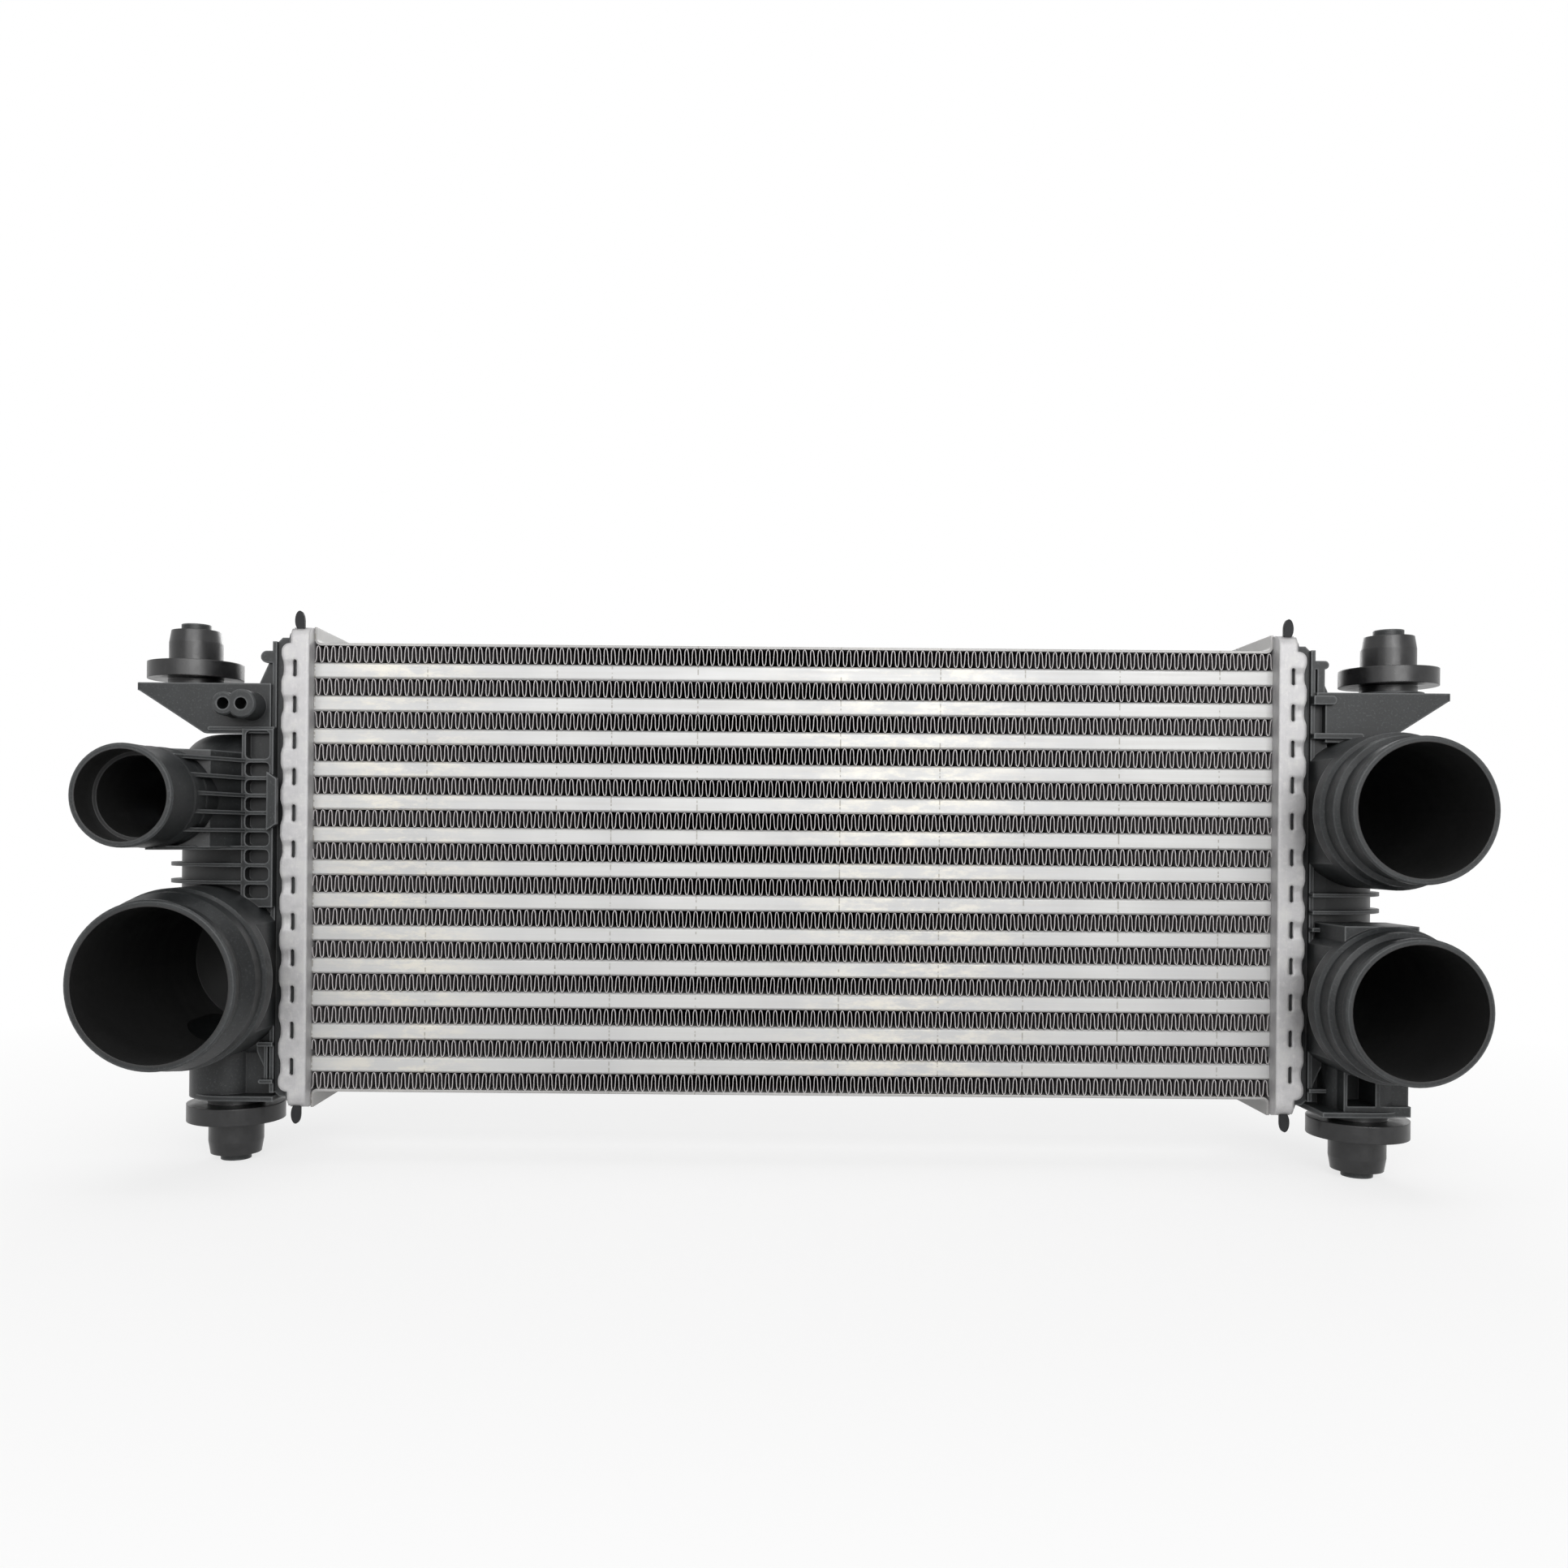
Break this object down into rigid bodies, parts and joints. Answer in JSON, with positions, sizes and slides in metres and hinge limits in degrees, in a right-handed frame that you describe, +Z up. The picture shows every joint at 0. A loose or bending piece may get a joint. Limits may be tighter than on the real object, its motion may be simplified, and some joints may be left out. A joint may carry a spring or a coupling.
{
  "type": "intercooler",
  "caption": "Charge-air cooler: brazed tube-and-fin core crimped between two plastic end tanks with front hose spigots, brackets and rubber isolators",
  "frame": {"origin": "centre of the lower left isolator's flange face, which rests on the vehicle's bracket, on its pin's axis", "axes": "+X runs along the tubes from the left tank to the right, +Y from the spigots' side to the back, +Z up"},
  "size_m": [0.629, 0.161, 0.2592],
  "materials": {
    "tube": "satin rolled aluminium",
    "inner_fin": "dull aluminium",
    "fin": "thin dull aluminium",
    "side_plate": "satin rolled aluminium",
    "header_plate": "pressed aluminium with dull brazing stain",
    "gasket": "matt black rubber",
    "tank": "glass-filled nylon, satin",
    "isolator": "smooth black rubber"
  },
  "bodies": {
    "root": {"charge_air_tube_01": "tube", "charge_air_tube_02": "tube", "charge_air_tube_03": "tube", "charge_air_tube_04": "tube", "charge_air_tube_05": "tube", "charge_air_tube_06": "tube", "charge_air_tube_07": "tube", "charge_air_tube_08": "tube", "charge_air_tube_09": "tube", "charge_air_tube_10": "tube", "charge_air_tube_11": "tube", "charge_air_tube_12": "tube", "charge_air_tube_13": "tube", "cooling_fin_01": "fin", "cooling_fin_02": "fin", "cooling_fin_03": "fin", "cooling_fin_04": "fin", "cooling_fin_05": "fin", "cooling_fin_06": "fin", "cooling_fin_07": "fin", "cooling_fin_08": "fin", "cooling_fin_09": "fin", "cooling_fin_10": "fin", "cooling_fin_11": "fin", "cooling_fin_12": "fin", "cooling_fin_13": "fin", "cooling_fin_14": "fin", "end_tank_left": "tank", "end_tank_right": "tank", "header_plate_left": "header_plate", "header_plate_right": "header_plate", "isolator_lower_left": "isolator", "isolator_lower_right": "isolator", "isolator_upper_left": "isolator", "isolator_upper_right": "isolator", "side_plate_bottom": "side_plate", "side_plate_top": "side_plate", "tank_gasket_left": "gasket", "tank_gasket_right": "gasket", "turbulator_01": "inner_fin", "turbulator_02": "inner_fin", "turbulator_03": "inner_fin", "turbulator_04": "inner_fin", "turbulator_05": "inner_fin", "turbulator_06": "inner_fin", "turbulator_07": "inner_fin", "turbulator_08": "inner_fin", "turbulator_09": "inner_fin", "turbulator_10": "inner_fin", "turbulator_11": "inner_fin", "turbulator_12": "inner_fin", "turbulator_13": "inner_fin"}
  },
  "joints": []
}
